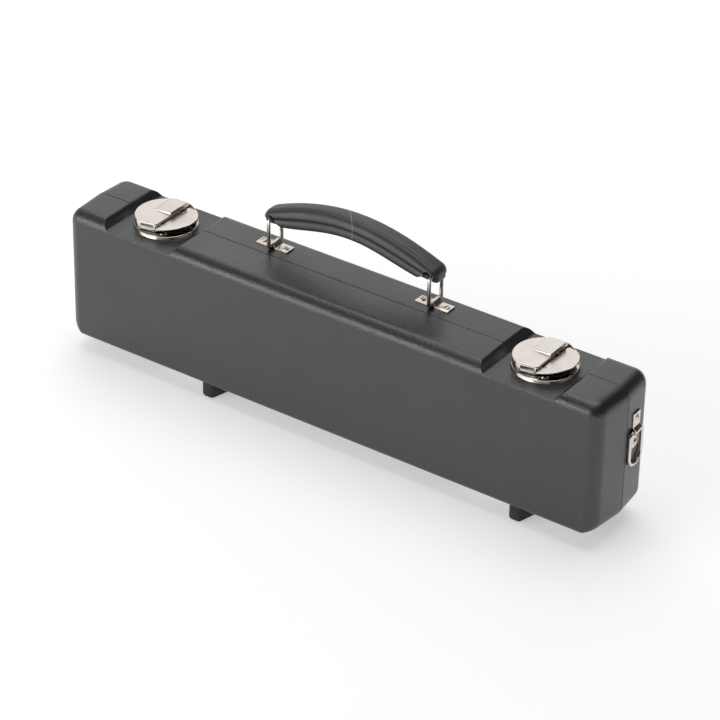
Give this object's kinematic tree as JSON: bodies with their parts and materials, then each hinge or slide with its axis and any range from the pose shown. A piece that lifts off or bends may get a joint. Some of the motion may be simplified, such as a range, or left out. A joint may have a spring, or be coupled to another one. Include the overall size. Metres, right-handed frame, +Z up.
{
  "type": "flute case",
  "caption": "Long narrow moulded hard case that opens on bottom hinges, with turn latches, a folding handle, strap rings and a fitted lining for a three-piece flute.",
  "frame": {"origin": "bottom of the feet, at the middle of the case's length and depth", "axes": "+X along the case to the right as seen from the lid, +Y from the lid towards the back shell, +Z up from the hinge edge to the handle edge"},
  "size_m": [0.426, 0.0616, 0.1505],
  "materials": {
    "shell": "fine grained black moulded plastic",
    "plush": "short dark plush",
    "foot": "matt black",
    "nickel": "nickel plate",
    "grip": "satin black moulded grip"
  },
  "bodies": {
    "base": {"rear_shell": "shell", "base_insert": "plush", "rear_feet": "foot", "hinge_rear_left": "nickel", "hinge_rear_right": "nickel", "hinge_pin_left": "nickel", "hinge_pin_right": "nickel", "hinge_rivets_rear": "nickel", "latch_base_left": "nickel", "latch_base_right": "nickel", "latch_rivets": "nickel", "latch_pivot_left": "nickel", "latch_pivot_right": "nickel", "handle_saddle_left": "nickel", "handle_saddle_right": "nickel", "handle_screws": "nickel", "strap_saddle_left": "nickel", "strap_saddle_right": "nickel", "strap_screws": "nickel"},
    "lid": {"front_shell": "shell", "lid_lining": "plush", "front_feet": "foot", "hinge_front_left": "nickel", "hinge_front_right": "nickel", "hinge_rivets_front": "nickel", "latch_keeper_left": "nickel", "latch_keeper_right": "nickel", "keeper_studs": "nickel"},
    "latch_left": {"latch_disc_left": "nickel", "latch_hook_left": "nickel", "flap_pin_left": "nickel"},
    "flap_left": {"latch_flap_left": "nickel"},
    "latch_right": {"latch_disc_right": "nickel", "latch_hook_right": "nickel", "flap_pin_right": "nickel"},
    "flap_right": {"latch_flap_right": "nickel"},
    "bail_left": {"bail_left": "nickel"},
    "grip": {"handle_grip": "grip"},
    "bail_right": {"bail_right": "nickel"},
    "ring_left": {"strap_ring_left": "nickel"},
    "ring_right": {"strap_ring_right": "nickel"}
  },
  "joints": [
    {"name": "lid_hinge", "type": "hinge", "parent": "base", "child": "lid", "pos_m": [0, 0.00125, 0.00725], "axis": [1, 0, 0], "range_deg": [0, 110]},
    {"name": "latch_turn_left", "type": "hinge", "parent": "base", "child": "latch_left", "pos_m": [-0.149, 0.00125, 0.1008], "axis": [0, 0, 1], "range_deg": [0, 90]},
    {"name": "flap_lift_left", "type": "hinge", "parent": "latch_left", "child": "flap_left", "pos_m": [-0.143, 0.00125, 0.1061], "axis": [0, -1, 0], "range_deg": [0, 85]},
    {"name": "latch_turn_right", "type": "hinge", "parent": "base", "child": "latch_right", "pos_m": [0.149, 0.00125, 0.1008], "axis": [0, 0, 1], "range_deg": [0, 90]},
    {"name": "flap_lift_right", "type": "hinge", "parent": "latch_right", "child": "flap_right", "pos_m": [0.155, 0.00125, 0.1061], "axis": [0, -1, 0], "range_deg": [0, 85]},
    {"name": "bail_left_swing", "type": "hinge", "parent": "base", "child": "bail_left", "pos_m": [-0.068, 0.01325, 0.1081], "axis": [0, 1, 0], "range_deg": [-60, 60]},
    {"name": "grip_level", "type": "hinge", "parent": "bail_left", "child": "grip", "pos_m": [-0.068, 0.01325, 0.1301], "axis": [0, 1, 0], "range_deg": [-60, 60]},
    {"name": "bail_right_swing", "type": "hinge", "parent": "base", "child": "bail_right", "pos_m": [0.058, 0.01325, 0.1081], "axis": [0, 1, 0], "range_deg": [-60, 60]},
    {"name": "ring_left_swing", "type": "hinge", "parent": "base", "child": "ring_left", "pos_m": [-0.21061, 0.01231, 0.0718], "axis": [0.0628, 0.998, 0], "range_deg": [0, 120]},
    {"name": "ring_right_swing", "type": "hinge", "parent": "base", "child": "ring_right", "pos_m": [0.21061, 0.01231, 0.0718], "axis": [0.0628, -0.998, 0], "range_deg": [0, 120]}
  ],
  "couplings": [
    {"joint": "grip_level", "follows": "bail_left_swing", "ratio": -1},
    {"joint": "bail_right_swing", "follows": "bail_left_swing", "ratio": 1}
  ]
}
